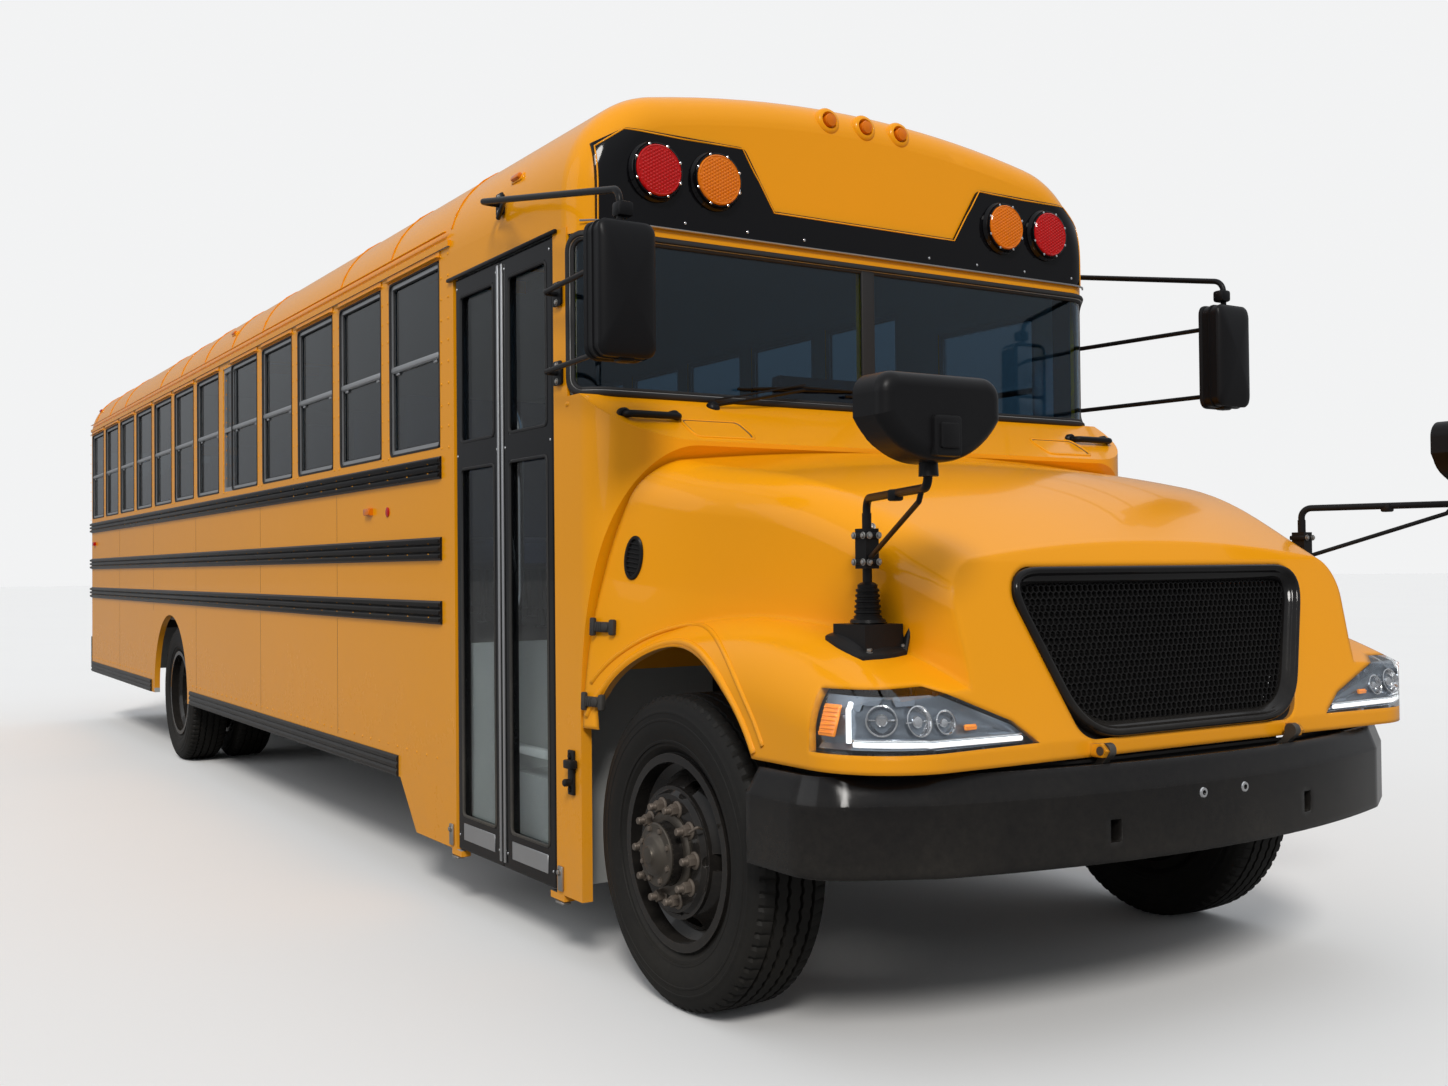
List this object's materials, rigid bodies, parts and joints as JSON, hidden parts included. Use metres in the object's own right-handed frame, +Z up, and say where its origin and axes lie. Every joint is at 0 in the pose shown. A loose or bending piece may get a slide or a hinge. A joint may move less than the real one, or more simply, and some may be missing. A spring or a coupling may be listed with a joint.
{
  "type": "school bus",
  "caption": "Hooded school bus with a two-leaf entrance door, tilting hood, rear emergency door, roof hatches, stop arm, steered front wheels and rear twin wheels.",
  "frame": {"origin": "middle of the overall box, on the ground", "axes": "+X forward, +Y to the bus's left, +Z up"},
  "size_m": [11.827, 2.914, 3.1352],
  "materials": {
    "body_paint": "gloss",
    "black_paint": "gloss",
    "chassis_paint": "satin",
    "black_trim": "satin",
    "window_frame": "satin",
    "glass": "tinted",
    "lamp_glass": "clear",
    "red_lens": "gloss",
    "amber_lens": "gloss",
    "red_sign": "gloss",
    "interior_plastic": "satin",
    "seat_cover": "satin",
    "floor_cover": "satin",
    "cast_metal": "rough",
    "exhaust_steel": "satin",
    "tyre": "matt",
    "wheel_paint": "gloss",
    "hatch_plastic": "satin"
  },
  "bodies": {
    "body": {"frame_rails": "chassis_paint", "front_axle_beam": "cast_metal", "rear_axle": "cast_metal", "engine_block": "cast_metal", "fuel_tank": "chassis_paint", "exhaust": "exhaust_steel", "floor": "floor_cover", "entrance_steps": "floor_cover", "side_wall_right": "body_paint", "side_wall_left": "body_paint", "rear_wall": "body_paint", "roof": "body_paint", "front_cap": "body_paint", "cowl": "body_paint", "windshield_glass": "glass", "window_frames": "window_frame", "window_glass": "glass", "rub_rails": "black_paint", "front_bumper": "black_paint", "rear_bumper": "black_paint", "rear_view_mirrors": "black_trim", "lamp_panels": "black_paint", "red_lamps": "red_lens", "amber_lamps": "amber_lens", "dashboard": "interior_plastic", "seats": "seat_cover"},
    "hood_assembly": {"hood": "body_paint", "grille": "black_trim", "headlamps": "lamp_glass", "crossover_mirrors": "black_trim"},
    "entrance_leaf_front": {"door_leaf_front": "black_paint", "door_glass_front": "glass"},
    "entrance_leaf_rear": {"door_leaf_rear": "black_paint", "door_glass_rear": "glass"},
    "emergency_leaf": {"emergency_door": "body_paint", "emergency_glass": "glass"},
    "stop_sign": {"stop_arm": "red_sign"},
    "hatch_front": {"roof_hatch_front": "hatch_plastic"},
    "hatch_rear": {"roof_hatch_rear": "hatch_plastic"},
    "steering_right": {"knuckle_right": "cast_metal"},
    "steering_left": {"knuckle_left": "cast_metal"},
    "wheel_front_right": {"tyre_front_right": "tyre", "rim_front_right": "wheel_paint"},
    "wheel_front_left": {"tyre_front_left": "tyre", "rim_front_left": "wheel_paint"},
    "wheels_rear_right": {"tyres_rear_right": "tyre", "rim_rear_right": "wheel_paint"},
    "wheels_rear_left": {"tyres_rear_left": "tyre", "rim_rear_left": "wheel_paint"}
  },
  "joints": [
    {"name": "steer_right", "type": "hinge", "parent": "body", "child": "steering_right", "pos_m": [4.6615, -0.905, 0.478], "axis": [0, 0, 1], "range_deg": [-40, 40]},
    {"name": "steer_left", "type": "hinge", "parent": "body", "child": "steering_left", "pos_m": [4.6615, 0.905, 0.478], "axis": [0, 0, 1], "range_deg": [-40, 40]},
    {"name": "spin_front_right", "type": "hinge", "parent": "steering_right", "child": "wheel_front_right", "pos_m": [4.6615, -1.045, 0.478], "axis": [0, 1, 0], "continuous": true},
    {"name": "spin_front_left", "type": "hinge", "parent": "steering_left", "child": "wheel_front_left", "pos_m": [4.6615, 1.045, 0.478], "axis": [0, 1, 0], "continuous": true},
    {"name": "spin_rear_right", "type": "hinge", "parent": "body", "child": "wheels_rear_right", "pos_m": [-2.3485, -1.04, 0.478], "axis": [0, 1, 0], "continuous": true},
    {"name": "spin_rear_left", "type": "hinge", "parent": "body", "child": "wheels_rear_left", "pos_m": [-2.3485, 1.04, 0.478], "axis": [0, 1, 0], "continuous": true},
    {"name": "hood_tilt", "type": "hinge", "parent": "body", "child": "hood_assembly", "pos_m": [5.6965, 0, 0.835], "axis": [0, 1, 0], "range_deg": [0, 60]},
    {"name": "entrance_front", "type": "hinge", "parent": "body", "child": "entrance_leaf_front", "pos_m": [3.9485, -1.197, 1.36], "axis": [0, 0, 1], "range_deg": [0, 92]},
    {"name": "entrance_rear", "type": "hinge", "parent": "body", "child": "entrance_leaf_rear", "pos_m": [3.0885, -1.197, 1.36], "axis": [0, 0, -1], "range_deg": [0, 92]},
    {"name": "emergency_hinge", "type": "hinge", "parent": "body", "child": "emergency_leaf", "pos_m": [-5.8075, -0.372, 1.8], "axis": [0, 0, 1], "range_deg": [0, 110]},
    {"name": "stop_arm_hinge", "type": "hinge", "parent": "body", "child": "stop_sign", "pos_m": [2.8915, 1.249, 1.555], "axis": [0, 0, -1], "range_deg": [0, 90]},
    {"name": "hatch_front_hinge", "type": "hinge", "parent": "body", "child": "hatch_front", "pos_m": [1.1095, 0, 3.111], "axis": [0, 1, 0], "range_deg": [0, 75]},
    {"name": "hatch_rear_hinge", "type": "hinge", "parent": "body", "child": "hatch_rear", "pos_m": [-3.1405, 0, 3.111], "axis": [0, 1, 0], "range_deg": [0, 75]}
  ],
  "couplings": [
    {"joint": "steer_left", "follows": "steer_right", "ratio": 1},
    {"joint": "entrance_rear", "follows": "entrance_front", "ratio": 1}
  ]
}
